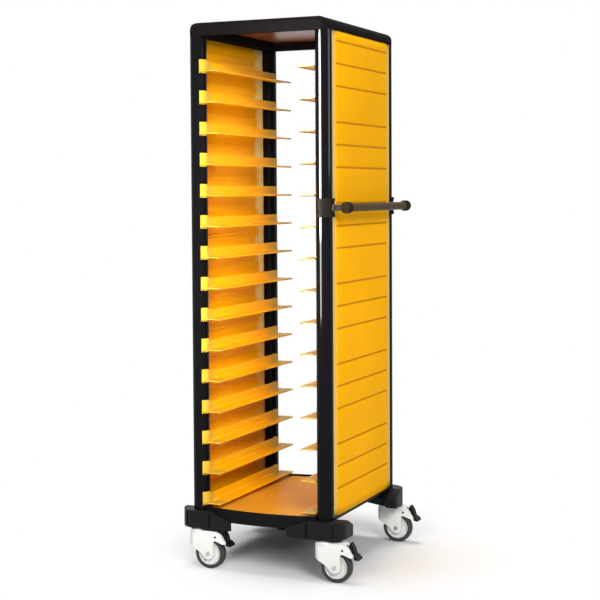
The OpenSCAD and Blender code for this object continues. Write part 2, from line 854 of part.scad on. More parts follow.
module tyre(c) {
    r = wheel_d / 2;
    shoulder = 7;
    half = tyre_w / 2;
    color([0.30, 0.30, 0.32]) at_caster(c) translate([trail, 0, axle_z]) rotate([90, 0, 0])
        rotate_extrude() polygon(concat(
            [[r - tyre_t, -half + 1], [r - shoulder, -half]],
            arc(r - shoulder, shoulder - half, shoulder, -90, 0, 8),
            arc(r - shoulder, half - shoulder, shoulder, 0, 90, 8),
            [[r - tyre_t, half - 1]]));
}

// Pedal seen along Y about its pin: a lever with a release tab above, and past the fender's tip
// a wider, slanted tread
module brake_pedal(c) {
    tab = pin_drop + 4;
    eye_r = pin_d - 1;
    pin_len = fork_w - 2;
    lever = [[20, 9], [22, tab], [27, tab], [36, 8], [41, -6], [44, -21], [36, -21], [28, -6], [14, -8]];
    tread = [[-13, -13], [0, -25], [0, -30], [-14, -28], [-16, -23], [-15, -17]];
    color([0.10, 0.10, 0.11]) at_caster(c) translate([pin_x, 0, pin_z]) {
        across_y(pedal_w) polygon(concat(arc(0, 0, eye_r, 250, 90), lever));
        across_y(tread_w) translate([pedal_len, 0]) polygon(tread);
        along_y(pin_len) cylinder(d = pin_d, h = pin_len);
    }
}

// ---- All pieces ----

roof_cap();
ceiling_panel();
base_frame();
deck_panel();
handle_bar();
handle_end_caps();
handle_bracket_screws();
for (s = SIDES) {
    side_panel(s);
    side_lining(s);
}
for (k = [1 : rail_count]) {
    rail_pair(k);
}
for (e = ENDS) {
    handle_bracket([e[0], 1, e[1]]);
}
for (c = CORNERS) {
    post(c);
    bumper(c);
    caster_stem(c);
    fork(c);
    axle(c);
    wheel_hub(c);
    tyre(c);
    brake_pedal(c);
}
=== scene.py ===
import math

import bmesh
import bpy
import numpy as np
from mathutils import Matrix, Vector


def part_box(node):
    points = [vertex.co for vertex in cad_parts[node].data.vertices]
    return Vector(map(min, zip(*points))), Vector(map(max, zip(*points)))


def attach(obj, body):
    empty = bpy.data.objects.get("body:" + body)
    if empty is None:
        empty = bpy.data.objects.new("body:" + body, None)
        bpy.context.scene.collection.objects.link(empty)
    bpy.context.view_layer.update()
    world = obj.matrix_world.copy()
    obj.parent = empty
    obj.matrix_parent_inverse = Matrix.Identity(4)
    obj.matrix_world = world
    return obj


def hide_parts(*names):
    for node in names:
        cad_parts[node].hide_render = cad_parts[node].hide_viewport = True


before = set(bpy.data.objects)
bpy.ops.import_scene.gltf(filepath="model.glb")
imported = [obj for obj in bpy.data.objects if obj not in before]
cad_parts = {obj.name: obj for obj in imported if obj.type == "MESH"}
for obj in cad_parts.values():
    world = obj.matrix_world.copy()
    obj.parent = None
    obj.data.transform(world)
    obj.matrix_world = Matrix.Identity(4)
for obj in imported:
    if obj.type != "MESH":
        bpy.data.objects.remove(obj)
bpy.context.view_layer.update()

# Lengths are in metres. Angles are in degrees, apart from the camera's, which are in radians.

# ---- Base frame and deck panel ----
# The base is one black moulding with ribs below and a lip that bows out at both open ends.
# The deck is a thin orange-brown sheet that lies in it. Both are fine-grained polypropylene.

BASE_BLACK = (0.0052, 0.0050, 0.0058)
DECK_BROWN = (0.78, 0.33, 0.020)
BASE_EDGE = 0.0014
DECK_EDGE = 0.0006
DRIFT_SCALE = 3.0
RIPPLE_SCALE = 9.0
SHEEN_SCALE = 38.0
NOISE_RANGE = (0.3, 0.7)
SHEEN_RANGE = (0.88, 1.14)
MERGE_DISTANCE = 0.00001
FLAT_ANGLE = 0.4
SHADE_WEIGHT = 80


def new_group(name, inputs, outputs):
    """An empty shader node group with sockets of these labels and kinds, and its input and
    output nodes."""
    group = bpy.data.node_groups.new(name, "ShaderNodeTree")
    for way, sockets in (("INPUT", inputs), ("OUTPUT", outputs)):
        for label, kind in sockets:
            group.interface.new_socket(label, in_out=way, socket_type=kind)
    return group, group.nodes.new("NodeGroupInput"), group.nodes.new("NodeGroupOutput")


def add_node(tree, kind, links=(), **settings):
    """A node with its settings; links are pairs of an input's name or number and a socket or a
    value."""
    node = tree.nodes.new(kind)
    for key, value in settings.items():
        setattr(node, key, value)
    for key, value in links:
        if isinstance(value, bpy.types.NodeSocket):
            tree.links.new(value, node.inputs[key])
        else:
            node.inputs[key].default_value = value
    return node


def noise(tree, place, scale, detail):
    """The value of a noise over place."""
    links = [("Vector", place), ("Scale", scale), ("Detail", detail)]
    return add_node(tree, "ShaderNodeTexNoise", links).outputs["Fac"]


def rescale(tree, value, given=(0.0, 1.0), wanted=(0.0, 1.0), way="LINEAR"):
    """Brings value from its given range to the wanted one, and keeps it inside."""
    links = [("Value", value), ("From Min", given[0]), ("From Max", given[1]),
             ("To Min", wanted[0]), ("To Max", wanted[1])]
    return add_node(tree, "ShaderNodeMapRange", links, interpolation_type=way).outputs[0]


def calculate(tree, operation, *values):
    """The result of one operation on sockets or numbers."""
    return add_node(tree, "ShaderNodeMath", enumerate(values), operation=operation).outputs[0]


def mix_colours(tree, share, first, second):
    """Goes from the first colour to the second as share goes from 0 to 1."""
    links = [("Factor", share), ("A", first), ("B", second)]
    return add_node(tree, "ShaderNodeMix", links, data_type="RGBA").outputs["Result"]


def build_mould_grain():
    """Moulded plastic. Colour is scaled by a slow noise, so the tone drifts over the piece;
    Roughness is spread by a middle noise; Height is a fast grain laid over slow ripples of the
    moulded face."""
    group, given, put = new_group(
        "mould_grain",
        [("Color", "NodeSocketColor"), ("Roughness", "NodeSocketFloat"),
         ("Grain", "NodeSocketFloat"), ("Drift", "NodeSocketFloat"),
         ("Ripple", "NodeSocketFloat")],
        [("Color", "NodeSocketColor"), ("Roughness", "NodeSocketFloat"),
         ("Height", "NodeSocketFloat")])
    place = add_node(group, "ShaderNodeTexCoord").outputs["Object"]
    slow = noise(group, place, DRIFT_SCALE, detail=3.0)
    mid = noise(group, place, SHEEN_SCALE, detail=5.0)
    fine = noise(group, place, given.outputs["Grain"], detail=2.0)
    wave = noise(group, place, RIPPLE_SCALE, detail=1.0)
    low = calculate(group, "SUBTRACT", 1.0, given.outputs["Drift"])
    high = calculate(group, "ADD", 1.0, given.outputs["Drift"])
    tone = rescale(group, slow, NOISE_RANGE, (low, high))
    colour = add_node(group, "ShaderNodeVectorMath",
                      [(0, given.outputs["Color"]), ("Scale", tone)], operation="SCALE")
    spread = rescale(group, mid, NOISE_RANGE, SHEEN_RANGE)
    rough = calculate(group, "MULTIPLY", given.outputs["Roughness"], spread)
    height = calculate(group, "MULTIPLY_ADD", wave, given.outputs["Ripple"], fine)
    group.links.new(colour.outputs[0], put.inputs["Color"])
    group.links.new(rough, put.inputs["Roughness"])
    group.links.new(height, put.inputs["Height"])
    return group


MOULD_GRAIN = build_mould_grain()


def new_material(name):
    """A material, its node tree and its Principled shader."""
    material = bpy.data.materials.new(name)
    material.use_nodes = True
    return material, material.node_tree, material.node_tree.nodes["Principled BSDF"]


def feed(tree, shader, colour, rough, height, depth):
    """Joins the colour, the roughness and a bump, which is height times depth, to the shader."""
    bump = add_node(tree, "ShaderNodeBump", [("Height", height), ("Distance", depth)])
    tree.links.new(colour, shader.inputs["Base Color"])
    tree.links.new(rough, shader.inputs["Roughness"])
    tree.links.new(bump.outputs[0], shader.inputs["Normal"])


def plastic(name, colour, roughness, grain=700.0, depth=0.00002, drift=0.06, ripple=3.0,
            specular=0.3, marks=()):
    """A moulded plastic: grain is how fine its bumps are, ripple how much its slow waves count
    beside them, depth how deep both go in metres, and drift how far its tone strays. Each of
    marks is the name of an attribute of the mesh and the colour that a place goes over to where
    that attribute is 1."""
    material, tree, shader = new_material(name)
    moulded = add_node(tree, "ShaderNodeGroup",
                       [("Color", (*colour, 1)), ("Roughness", roughness), ("Grain", grain),
                        ("Drift", drift), ("Ripple", ripple)], node_tree=MOULD_GRAIN)
    tint = moulded.outputs["Color"]
    for label, marked in marks:
        share = add_node(tree, "ShaderNodeAttribute", attribute_name=label).outputs["Fac"]
        tint = mix_colours(tree, share, tint, (*marked, 1))
    feed(tree, shader, tint, moulded.outputs["Roughness"], moulded.outputs["Height"], depth)
    shader.inputs["Specular IOR Level"].default_value = specular
    return material


def dress(node, finish):
    """Gives a node of the frame its finish."""
    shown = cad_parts[node]
    if not shown.material_slots:
        shown.data.materials.append(finish)
    for slot in shown.material_slots:
        slot.material = finish


def new_object(name, data):
    """An object in the scene, at the origin."""
    thing = bpy.data.objects.new(name, data)
    bpy.context.scene.collection.objects.link(thing)
    return thing


def add_piece(name, mesh, finish, body, node):
    """A smooth-shaded piece of the cart, which rides on body and replaces node. The hidden node
    gets the same finish."""
    dress(node, finish)
    mesh.materials.clear()
    mesh.materials.append(finish)
    mesh.polygons.foreach_set("use_smooth", np.ones(len(mesh.polygons), dtype=bool))
    piece = new_object(name, mesh)
    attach(piece, body)
    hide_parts(node)
    return piece


def roll_edges(piece, width, angle=38.0, segments=2):
    """Each edge sharper than angle is rolled over by width, and shaded by the size of the faces
    round each corner."""
    roll = piece.modifiers.new("roll", "BEVEL")
    roll.width = width
    roll.segments = segments
    roll.limit_method = "ANGLE"
    roll.angle_limit = math.radians(angle)
    shade = piece.modifiers.new("shade", "WEIGHTED_NORMAL")
    shade.weight = SHADE_WEIGHT


def rounded(node, body, width, finish, segments=2):
    """The node's form with real rounded edges: a copy of its mesh, its doubles merged and its
    flat faces joined, with its edges rolled over by width."""
    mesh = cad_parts[node].data.copy()
    shape = bmesh.new()
    shape.from_mesh(mesh)
    bmesh.ops.remove_doubles(shape, verts=shape.verts, dist=MERGE_DISTANCE)
    bmesh.ops.dissolve_limit(shape, angle_limit=math.radians(FLAT_ANGLE), verts=shape.verts,
                             edges=shape.edges)
    shape.to_mesh(mesh)
    shape.free()
    piece = add_piece(node + "_rounded", mesh, finish, body, node)
    roll_edges(piece, width, segments=segments)


base_plastic = plastic("base_plastic", BASE_BLACK, roughness=0.40, specular=0.06)
deck_plastic = plastic("deck_plastic", DECK_BROWN, roughness=0.40, drift=0.10, ripple=6.0,
                       specular=0.04)
rounded("base_frame", "cart", BASE_EDGE, base_plastic)
rounded("deck_panel", "cart", DECK_EDGE, deck_plastic)

# ---- Corner bumpers ----
# Four black bumpers wrap the base's corners and carry the casters; each is one thick moulding
# whose plug stands in its post. Their faces are grained against scuffs.

CORNERS = ("front_left", "front_right", "rear_left", "rear_right")
BUMPER_BLACK = (0.0075, 0.0075, 0.0088)
BUMPER_EDGE = 0.0035
bumper_plastic = plastic("bumper_plastic", BUMPER_BLACK, roughness=0.46, grain=900.0,
                         depth=0.00003, specular=0.12)
for corner in CORNERS:
    rounded(corner + "_bumper", "cart", BUMPER_EDGE, bumper_plastic,
            segments=3)

# ---- Posts ----
# Four drawn tubes, lacquered gloss black, stand on the bumpers and carry the roof. The lacquer
# pulls into long, faint streaks along the tube.

POST_BLACK = (0.0035, 0.0035, 0.0042)
POST_EDGE = 0.0004
STREAK_STRETCH = (1.0, 1.0, 0.02)
RUB_SCALE = 14.0
RUB_RANGE = (0.35, 0.75)
RUBBED_SHADE = 0.82


def build_drawn_streaks():
    """Lacquer on a drawn tube: a noise stretched along Z gives Height its long streaks, and a
    coarser one, not stretched, gives Tone its faint rub."""
    group, given, put = new_group(
        "drawn_streaks", [("Fineness", "NodeSocketFloat")],
        [("Height", "NodeSocketFloat"), ("Tone", "NodeSocketFloat")])
    place = add_node(group, "ShaderNodeTexCoord").outputs["Object"]
    long = add_node(group, "ShaderNodeMapping", [("Vector", place), ("Scale", STREAK_STRETCH)])
    streak = noise(group, long.outputs[0], given.outputs["Fineness"], detail=3.0)
    rub_and_highlight = noise(group, place, RUB_SCALE, detail=6.0)
    group.links.new(streak, put.inputs["Height"])
    group.links.new(rescale(group, rub_and_highlight, RUB_RANGE), put.inputs["Tone"])
    return group


DRAWN_STREAKS = build_drawn_streaks()


def lacquer(name, colour, smooth, rubbed, specular, metallic=0.0, fineness=120.0,
            depth=0.0000015):
    """A coated or bare tube: streaks in the bump, a darker shade where hands have been, and
    roughness from smooth to rubbed there."""
    material, tree, shader = new_material(name)
    streaks = add_node(tree, "ShaderNodeGroup", [("Fineness", fineness)],
                       node_tree=DRAWN_STREAKS)
    tone = streaks.outputs["Tone"]
    rough = rescale(tree, tone, wanted=(smooth, rubbed))
    darker = tuple(RUBBED_SHADE * channel for channel in colour)
    tint = mix_colours(tree, tone, (*colour, 1), (*darker, 1))
    feed(tree, shader, tint, rough, streaks.outputs["Height"], depth)
    shader.inputs["Specular IOR Level"].default_value = specular
    shader.inputs["Metallic"].default_value = metallic
    return material


post_lacquer = lacquer("post_lacquer", POST_BLACK, smooth=0.09, rubbed=0.14, specular=0.07)
for corner in CORNERS:
    rounded(corner + "_post", "cart", POST_EDGE, post_lacquer)

# ---- Side panels ----
# Each is one pressed sheet of satin yellow plastic: raised fields parted by shallow grooves,
# slanted ends, and flat borders that slide into the posts' grooves. Shade is painted along the
# grooves, and a pale cream highlight on the borders.

PANEL_YELLOW = (0.93, 0.43, 0.0012)
# The cream of the highlight painted on the panels' borders.
PANEL_HIGHLIGHT = (0.74, 0.52, 0.16)
# The dark orange of the shade painted along the grooves.
PANEL_GROOVE_SHADE = (0.44, 0.16, 0.001)
PANEL_SHEET = 0.0025
FIELD_HEIGHT = 0.0035
FIELD_END = 0.246
FIELD_SLANT = 0.018
BORDER_FADE = 0.006
BORDER_HIGHLIGHT = 0.8
GROOVE_DEPTH = 0.0030
GROOVE_WIDTH = 0.012
GROOVE_TOP = 0.032
GROOVE_STEP = 0.0742
GROOVE_GROUP = 0.2665
GROOVE_GROUPS = 7
GROUP_GROOVES = 3
PANEL_ROWS = 60
PANEL_COLUMNS = 25
GROOVE_POINTS = 9
SLANT_POINTS = 9
BORDER_POINTS = 6
# How wide and how strong the painted groove shade is.
GROOVE_SHADE_WIDTH = 0.9 * GROOVE_WIDTH
GROOVE_SHADE_STRENGTH = 0.9


def skin(name, grid, around=False, along=False):
    """A mesh of quads over grid, whose point in row i and column j is grid[i, j]. around joins
    the last column to the first, and along the last row to the first."""
    rows, columns = grid.shape[:2]
    index = np.arange(rows * columns).reshape(rows, columns)
    right = np.roll(index, -1, axis=1)
    down = np.roll(index, -1, axis=0)
    quads = np.stack([index, right, np.roll(down, -1, axis=1), down], axis=-1)
    if not around:
        quads = quads[:, :-1]
    if not along:
        quads = quads[:-1]
    mesh = bpy.data.meshes.new(name)
    mesh.from_pydata(grid.reshape(-1, 3).tolist(), [], quads.reshape(-1, 4).tolist())
    return mesh


def ease(x):
    """Rises smoothly from 0 to 1 as x does, flat at both ends: 3x^2 - 2x^3."""
    x = np.clip(x, 0.0, 1.0)
    return x * x * (3.0 - 2.0 * x)


def rows_up(low, high, rows, centres, width, points):
    """Heights of a wall's rows: even ones from low to high, and points more over the width of
    each centre."""
    close = centres[:, None] + width / 2 * np.linspace(-1, 1, points)
    return np.unique(np.concatenate([np.linspace(low, high, rows), close.ravel()]))


def columns_across(edge, columns):
    """Places of a wall's columns along Y: edge on one side, its mirror image on the other, and
    even ones between the two."""
    return np.concatenate([-edge[::-1], np.linspace(-edge[0], edge[0], columns)[1:-1], edge])


def wall_sheet(name, node, side, inset, thickness, across, up, relief, marks, finish):
    """A wall's sheet over the places across (Y) and up (Z). It lies inset from the node's outer
    side and stands relief(Y, Z) further out from the cart, and marks gives its attributes'
    values as further functions of Y and Z. Solidify gives it its thickness on the side away
    from its face, which looks out of the cart, or into it where thickness is below 0."""
    low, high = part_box(node)
    outer = high[0] if side > 0 else low[0]
    y, z = np.meshgrid(across, up)
    x = outer - side * inset + side * relief(y, z)
    # Rows run down, and columns run so that the quads point the way that the face looks.
    grid = np.stack([x, y, z], axis=-1)[::-1]
    if (side > 0) == (thickness > 0):
        grid = grid[:, ::-1]
    mesh = skin(name, grid)
    for label, amount in marks:
        values = amount(grid[..., 1], grid[..., 2]).astype(np.float32).ravel()
        mesh.attributes.new(label, "FLOAT", "POINT").data.foreach_set("value", values)
    piece = add_piece(name, mesh, finish, "cart", node)
    wall = piece.modifiers.new("sheet", "SOLIDIFY")
    wall.thickness = abs(thickness)
    wall.offset = -1.0
    wall.use_even_offset = True


def ridge(z, centres, width):
    """1 at each centre and 0 from half a width away on, along a cosine of the distance d:
    (1 + cos(pi d / (width / 2))) / 2."""
    near = np.abs(z[..., None] - centres).min(axis=-1)
    return 0.5 + 0.5 * np.cos(np.pi * np.clip(near / (width / 2), 0.0, 1.0))


def inside_fields(y):
    """1 in the fields, easing to 0 over the slanted FIELD_SLANT before their ends."""
    return ease((FIELD_END - np.abs(y)) / FIELD_SLANT)


def field_relief(grooves):
    """Height above the borders: FIELD_HEIGHT in the fields and falling to 0 over their slanted
    ends, less a rounded dip of GROOVE_DEPTH at each groove."""
    def relief(y, z):
        dip = GROOVE_DEPTH * ridge(z, grooves, GROOVE_WIDTH)
        return inside_fields(y) * (FIELD_HEIGHT - dip)
    return relief


def painted_border_highlight(y, z):
    """A painted cream highlight on the borders: it rises from 0 to BORDER_HIGHLIGHT over
    the last BORDER_FADE of the fields, and stays there from their ends out."""
    return BORDER_HIGHLIGHT * ease((np.abs(y) - FIELD_END + BORDER_FADE) / BORDER_FADE)


def painted_groove_shade(grooves):
    """Painted shade in the grooves: GROOVE_SHADE_STRENGTH along the bottom, gone at
    GROOVE_SHADE_WIDTH and at the fields' ends."""
    def groove_shade(y, z):
        return GROOVE_SHADE_STRENGTH * ridge(z, grooves, GROOVE_SHADE_WIDTH) * inside_fields(y)
    return groove_shade


# The panel's marks paint a cream highlight on the borders and shade along the grooves.
panel_plastic = plastic("panel_plastic", PANEL_YELLOW, roughness=0.42, grain=500.0, drift=0.07,
                        ripple=8.0, specular=0.01,
                        marks=(("rub_and_highlight", PANEL_HIGHLIGHT), ("groove_shade", PANEL_GROOVE_SHADE)))
for name, side in (("left", -1), ("right", 1)):
    low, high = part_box(name + "_side_panel")
    group_tops = high[2] - GROOVE_TOP - GROOVE_GROUP * np.arange(GROOVE_GROUPS)[:, None]
    grooves = np.sort((group_tops - GROOVE_STEP * np.arange(GROUP_GROOVES)).ravel())
    grooves = grooves[grooves > low[2] + GROOVE_TOP / 2]
    up = rows_up(low[2], high[2], PANEL_ROWS, grooves, GROOVE_WIDTH, GROOVE_POINTS)
    slant = FIELD_END - FIELD_SLANT * np.linspace(1, 0, SLANT_POINTS)
    edge = np.concatenate([slant, np.linspace(FIELD_END, high[1], BORDER_POINTS)[1:]])
    wall_sheet(name + "_pressed_panel", name + "_side_panel", side,
               FIELD_HEIGHT, PANEL_SHEET, columns_across(edge, PANEL_COLUMNS), up,
               field_relief(grooves), (("rub_and_highlight", painted_border_highlight), ("groove_shade", painted_groove_shade(grooves))),
               panel_plastic)

# ---- Linings ----
# Inside each side wall lies a second pressed sheet, coved inward where it meets the posts, with a
# cream highlight painted on the coves, and three low lines pressed in it above each pair of
# rails.

LINING_YELLOW = (0.98, 0.50, 0.0025)
# The cream of the highlight painted on the coves.
LINING_HIGHLIGHT = (1.0, 0.84, 0.34)
LINING_SHEET = 0.0026
LINING_GAP = 0.0005
COVE_START = 0.200
COVE_WIDTH = 0.050
COVE_DEPTH = 0.0048
RAIL_PITCH = 0.105
RAIL_LEVELS = 15
LEDGE_UP = 0.009
LINE_UP = 0.061
LINE_GAP = 0.010
LINE_HEIGHT = 0.0011
LINE_WIDTH = 0.005
LINE_FADE = 0.01
LINING_ROWS = 50
LINING_COLUMNS = 13
LINE_POINTS = 7
COVE_POINTS = 24
# Where and how strongly the cove highlight is painted.
HIGHLIGHT_REACH = 0.030
HIGHLIGHT_FADE = 1.5
SWAY = 0.5
SWAY_PER_METRE = 31.0
SWAY_DRIFT = 2.0
DRIFT_PER_METRE = 67.0
HIGHLIGHT_LOW = 0.3
HIGHLIGHT_MORE = 0.65
HIGHLIGHT_FROM = 0.4
HIGHLIGHT_RISE = 0.6
# Its mark paints a cream highlight on the coves.
lining_plastic = plastic("lining_plastic", LINING_YELLOW, roughness=0.30, grain=500.0,
                         drift=0.08, ripple=4.0, specular=0.03,
                         marks=(("rub_and_highlight", LINING_HIGHLIGHT),))


def lining_relief(lines):
    """Distance out from the flat middle, so below 0 is inward: the cove leans in by COVE_DEPTH
    times the square of how much of COVE_WIDTH is passed, and each pressed line is a low rounded
    ridge of LINE_HEIGHT that fades out over the LINE_FADE before the cove."""
    def relief(y, z):
        cove = COVE_DEPTH * np.clip((np.abs(y) - COVE_START) / COVE_WIDTH, 0.0, 1.0) ** 2
        fade = ease((COVE_START - np.abs(y)) / LINE_FADE)
        return -(cove + LINE_HEIGHT * ridge(z, lines, LINE_WIDTH) * fade)
    return relief


def painted_cove_highlight(y, z):
    """A painted cream highlight on the coves, fainter lower down. Across, it eases from 0 to 1
    over
    HIGHLIGHT_FADE times HIGHLIGHT_REACH, from a start that sways with the height between
    HIGHLIGHT_REACH before
    COVE_START and COVE_START, along the sine of an angle that sways too. Up, it eases from
    HIGHLIGHT_LOW to HIGHLIGHT_MORE above that, over the HIGHLIGHT_RISE that begins at
    HIGHLIGHT_FROM."""
    sway = SWAY * np.sin(SWAY_PER_METRE * z + SWAY_DRIFT * np.sin(DRIFT_PER_METRE * z))
    edge = (np.abs(y) - COVE_START) / HIGHLIGHT_REACH + SWAY + sway
    return ease(edge / HIGHLIGHT_FADE) * (HIGHLIGHT_LOW + HIGHLIGHT_MORE * ease((z - HIGHLIGHT_FROM) / HIGHLIGHT_RISE))


lowest_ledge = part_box("rail_pair_01")[0][2] + LEDGE_UP
lines = lowest_ledge + LINE_UP + RAIL_PITCH * np.arange(RAIL_LEVELS)
lines = np.sort((lines[:, None] + LINE_GAP * np.arange(-1, 2)).ravel())
for name, side in (("left", -1), ("right", 1)):
    low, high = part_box(name + "_lining")
    up = rows_up(low[2], high[2], LINING_ROWS, lines, LINE_WIDTH, LINE_POINTS)
    edge = np.linspace(COVE_START - 2 * HIGHLIGHT_REACH, high[1] - LINING_GAP, COVE_POINTS)
    wall_sheet(name + "_pressed_lining", name + "_lining", side, LINING_SHEET,
               -LINING_SHEET, columns_across(edge, LINING_COLUMNS), up, lining_relief(lines),
               (("rub_and_highlight", painted_cove_highlight),), lining_plastic)

# ---- Tray rails ----
# Fifteen pairs of moulded rails clip round the posts and carry the trays on their ledges. Each
# has a rounded lip, an upright flange and a taller hook at each end. A duller yellow painted on
# both ends stands in for the light there: a painted highlight on the front hooks and painted
# shade on the rear tips.

RAIL_YELLOW = (0.94, 0.46, 0.003)
# The duller yellow painted on the rails' ends for their highlight and shade.
RAIL_END_LIGHT = (0.64, 0.38, 0.035)
RAIL_EDGE = 0.0006
FRONT_END_LIGHT = (-0.240, -0.258)
REAR_END_LIGHT = (0.15, 0.25)


def paint_end_light(material, colour, front, rear):
    """Painted light on both ends: the colour goes over to another towards both ends along Y;
    front and rear say where that starts and where it is whole."""
    tree = material.node_tree
    base = tree.nodes["Principled BSDF"].inputs["Base Color"]
    place = add_node(tree, "ShaderNodeTexCoord").outputs["Object"]
    along = add_node(tree, "ShaderNodeSeparateXYZ", [(0, place)]).outputs["Y"]
    ends = [rescale(tree, along, reach, way="SMOOTHSTEP") for reach in (front, rear)]
    share = calculate(tree, "MAXIMUM", *ends)
    end_light = mix_colours(tree, share, base.links[0].from_socket, (*colour, 1))
    tree.links.new(end_light, base)


rail_plastic = plastic("rail_plastic", RAIL_YELLOW, roughness=0.34, grain=600.0, depth=0.000008,
                       drift=0.03, ripple=1.0, specular=0.04)
# Paints the duller yellow on the rails' ends, for the light there.
paint_end_light(rail_plastic, RAIL_END_LIGHT, FRONT_END_LIGHT, REAR_END_LIGHT)
for level in range(1, RAIL_LEVELS + 1):
    rounded(f"rail_pair_{level:02d}", "cart", RAIL_EDGE, rail_plastic)

# ---- Roof and ceiling ----
# The roof is one black moulding with rounded edges, whose plugs stand in the posts; the ceiling
# panel lies in its recess, painted dark brown for the shade that falls on it under the roof.

ROOF_BLACK = (0.0085, 0.0068, 0.0072)
# Shade under the roof, painted into the ceiling's colour.
CEILING_SHADE_BROWN = (0.24, 0.085, 0.028)
ROOF_EDGE = 0.0015
CEILING_EDGE = 0.0006
roof_plastic = plastic("roof_plastic", ROOF_BLACK, roughness=0.5, specular=0.003)
ceiling_painted_shade = plastic("ceiling_painted_shade", CEILING_SHADE_BROWN, roughness=0.30, specular=0.25)
rounded("roof_cap", "cart", ROOF_EDGE, roof_plastic)
rounded("ceiling_panel", "cart", CEILING_EDGE, ceiling_painted_shade)

# ---- Push handle ----
# A dark grey tube in two moulded brackets that clamp round the handle side's posts, each held by
# two socket screws.

HANDLE_GREY = (0.050, 0.030, 0.006)
BRACKET_BLACK = (0.014, 0.011, 0.009)
CAP_GREY = (0.020, 0.011, 0.003)
STEEL = (0.60, 0.61, 0.62)
SCREW_DARK = (0.02, 0.02, 0.022)
TUBE_EDGE = 0.0003
CAP_EDGE = 0.0009
SCREW_EDGE = 0.0004
BRACKET_EDGE = 0.0016
handle_finish = lacquer("handle_finish", HANDLE_GREY, smooth=0.34, rubbed=0.44, specular=0.03,
                        fineness=400.0)
bracket_plastic = plastic("bracket_plastic", BRACKET_BLACK, roughness=0.55, specular=0.010)
cap_plastic = plastic("cap_plastic", CAP_GREY, roughness=0.6, specular=0.004)
steel = lacquer("steel", STEEL, smooth=0.26, rubbed=0.40, specular=0.5, metallic=1.0,
                fineness=500.0)
dark_steel = lacquer("dark_steel", SCREW_DARK, smooth=0.5, rubbed=0.6, specular=0.03,
                     fineness=500.0)
rounded("handle_bar", "cart", TUBE_EDGE, handle_finish)
rounded("handle_end_caps", "cart", CAP_EDGE, cap_plastic)
rounded("handle_bracket_screws", "cart", SCREW_EDGE, dark_steel)
for end in ("front", "rear"):
    rounded(end + "_handle_bracket", "cart", BRACKET_EDGE, bracket_plastic)

# ---- Casters ----
# Each caster is an off-white moulded fork that turns on a steel stem in its bumper, a white
# wheel with a grey rubber tyre on a steel axle, and a black brake pedal.

CASTER_WHITE = (0.76, 0.77, 0.73)
WHEEL_WHITE = (0.72, 0.72, 0.70)
TYRE_GREY = (0.048, 0.048, 0.052)
PEDAL_BLACK = (0.007, 0.007, 0.009)
FORK_EDGE = 0.0018
PEDAL_EDGE = 0.0012
METAL_EDGE = 0.0006
RING_EDGE = 0.0005
RING_ANGLE = 30.0
RING_POINTS = 96
WHEEL_RADIUS = 0.053
TYRE_HALF = 0.016
TREAD_SHOULDER = 0.007
SHOULDER_POINTS = 9
fork_plastic = plastic("fork_plastic", CASTER_WHITE, roughness=0.42, drift=0.02, specular=0.2)
wheel_plastic = plastic("wheel_plastic", WHEEL_WHITE, roughness=0.42, drift=0.02, specular=0.2)
tyre_rubber = plastic("tyre_rubber", TYRE_GREY, roughness=0.6, grain=1400.0, depth=0.00004,
                      specular=0.15)
pedal_plastic = plastic("pedal_plastic", PEDAL_BLACK, roughness=0.5, specular=0.10)


def turned(name, node, body, profile, finish):
    """A ring turned about the wheel's axle: profile holds its radius and its place along Y, half
    of it given and the rest its mirror image, and the angle runs once round the axle through the
    middle of the node's box."""
    low, high = (np.array(corner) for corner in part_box(node))
    centre = (low + high) / 2
    half = np.array(profile)
    ring = np.concatenate([half, (half * (1, -1))[::-1]])
    angle = np.linspace(0, 2 * math.pi, RING_POINTS, endpoint=False)[None, :]
    radius, place = ring[:, :1], ring[:, 1:]
    grid = np.stack([centre[0] + radius * np.cos(angle), centre[1] + place + 0 * angle,
                     centre[2] + radius * np.sin(angle)], axis=-1)
    mesh = skin(name, grid, around=True, along=True)
    shape = bmesh.new()
    shape.from_mesh(mesh)
    bmesh.ops.recalc_face_normals(shape, faces=shape.faces)
    shape.to_mesh(mesh)
    shape.free()
    piece = add_piece(name, mesh, finish, body, node)
    roll_edges(piece, RING_EDGE, angle=RING_ANGLE)


# Each pair in a profile is a radius and a place along the axle from the wheel's middle.
bend = np.linspace(0, math.pi / 2, SHOULDER_POINTS)
tyre_profile = [(0.0410, 0.0105), (0.0416, 0.0146), (0.0460, 0.0158)]
tyre_profile += list(zip(WHEEL_RADIUS - TREAD_SHOULDER + TREAD_SHOULDER * np.sin(bend),
                         TYRE_HALF - TREAD_SHOULDER + TREAD_SHOULDER * np.cos(bend)))
tyre_profile += [(WHEEL_RADIUS, 0.0062), (0.0522, 0.0056), (0.0522, 0.0046),
                 (WHEEL_RADIUS, 0.0040)]
hub_profile = [(0.00405, 0.0181), (0.0105, 0.0181), (0.0112, 0.0176), (0.0125, 0.0095),
               (0.0142, 0.0078), (0.0215, 0.0070), (0.0225, 0.0092), (0.0262, 0.0092),
               (0.0272, 0.0070), (0.0345, 0.0078), (0.0358, 0.0098), (0.0366, 0.0145),
               (0.0372, 0.0150), (0.0388, 0.0150), (0.0393, 0.0140), (0.0395, 0.0105),
               (0.0410, 0.0105)]
for corner in CORNERS:
    wheel, caster = corner + "_wheel", corner + "_caster"
    turned(corner + "_tyre_ring", corner + "_tyre", wheel, tyre_profile, tyre_rubber)
    turned(corner + "_hub_disc", corner + "_wheel_hub", wheel, hub_profile,
           wheel_plastic)
    rounded(corner + "_stem", "cart", METAL_EDGE, steel)
    rounded(corner + "_fork", caster, FORK_EDGE, fork_plastic, segments=3)
    rounded(corner + "_axle", caster, METAL_EDGE, steel)
    rounded(corner + "_brake_pedal", corner + "_brake", PEDAL_EDGE,
            pedal_plastic)

